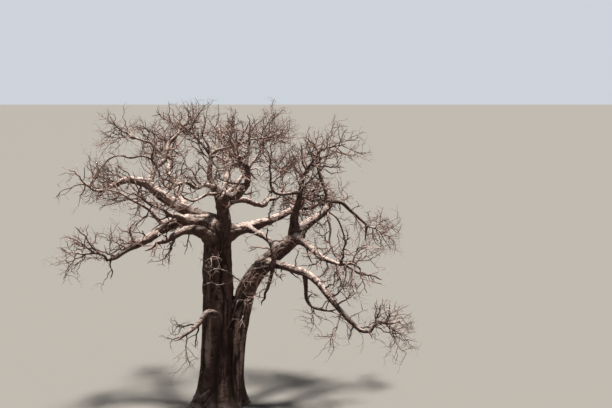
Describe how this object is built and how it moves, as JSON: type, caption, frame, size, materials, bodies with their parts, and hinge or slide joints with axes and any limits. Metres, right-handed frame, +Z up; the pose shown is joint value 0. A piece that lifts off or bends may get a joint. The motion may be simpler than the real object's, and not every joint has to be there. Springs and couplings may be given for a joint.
{
  "type": "bare baobab tree",
  "caption": "Bare baobab tree: a thick fluted trunk that forks into two stems, with crooked spreading boughs and a wide domed crown of leafless twigs, cut flat at ground level.",
  "frame": {"origin": "on the flat cut at ground level, in the middle of the main stem", "axes": "+Z up along the trunk, +X to the right and +Y away as seen from the side of the picture"},
  "size_m": [15.9694, 12.2317, 14.0409],
  "materials": {
    "bark": "pinkish grey bark, smooth and folded, matt",
    "twigs": "pale grey brown twig bark, matt"
  },
  "bodies": {
    "root": {"trunk": "bark", "stem_west": "bark", "stem_east": "bark", "west_high": "bark", "west_crook": "bark", "west_rise": "bark", "west_hook": "bark", "north_west": "bark", "west_low": "bark", "west_elbow": "bark", "west_under": "bark", "west_fan": "bark", "south_west": "bark", "centre": "bark", "centre_top": "bark", "top_east": "bark", "top_mid": "bark", "north": "bark", "north_east": "bark", "front_west": "bark", "front_twist": "bark", "front_crook": "bark", "east_mid": "bark", "east_low": "bark", "east_drop": "bark", "spire": "bark", "spire_west": "bark", "east_far": "bark", "east_high": "bark", "east_edge": "bark", "east_hang": "bark", "east_fall": "bark", "arch": "bark", "arch_tip": "bark", "prop": "bark", "stub": "bark", "twigs_west_crook": "twigs", "twigs_west_rise": "twigs", "twigs_west_hook": "twigs", "twigs_north_west": "twigs", "twigs_west_reach": "twigs", "twigs_west_fan": "twigs", "twigs_south_west": "twigs", "twigs_centre_top": "twigs", "twigs_top_east": "twigs", "twigs_top_mid": "twigs", "twigs_north": "twigs", "twigs_north_east": "twigs", "twigs_front_west": "twigs", "twigs_front_crook": "twigs", "twigs_east_mid": "twigs", "twigs_east_low": "twigs", "twigs_spire": "twigs", "twigs_spire_west": "twigs", "twigs_east_crest": "twigs", "twigs_east_edge": "twigs", "twigs_east_hang": "twigs", "twigs_east_fall": "twigs", "twigs_arch": "twigs"}
  },
  "joints": []
}
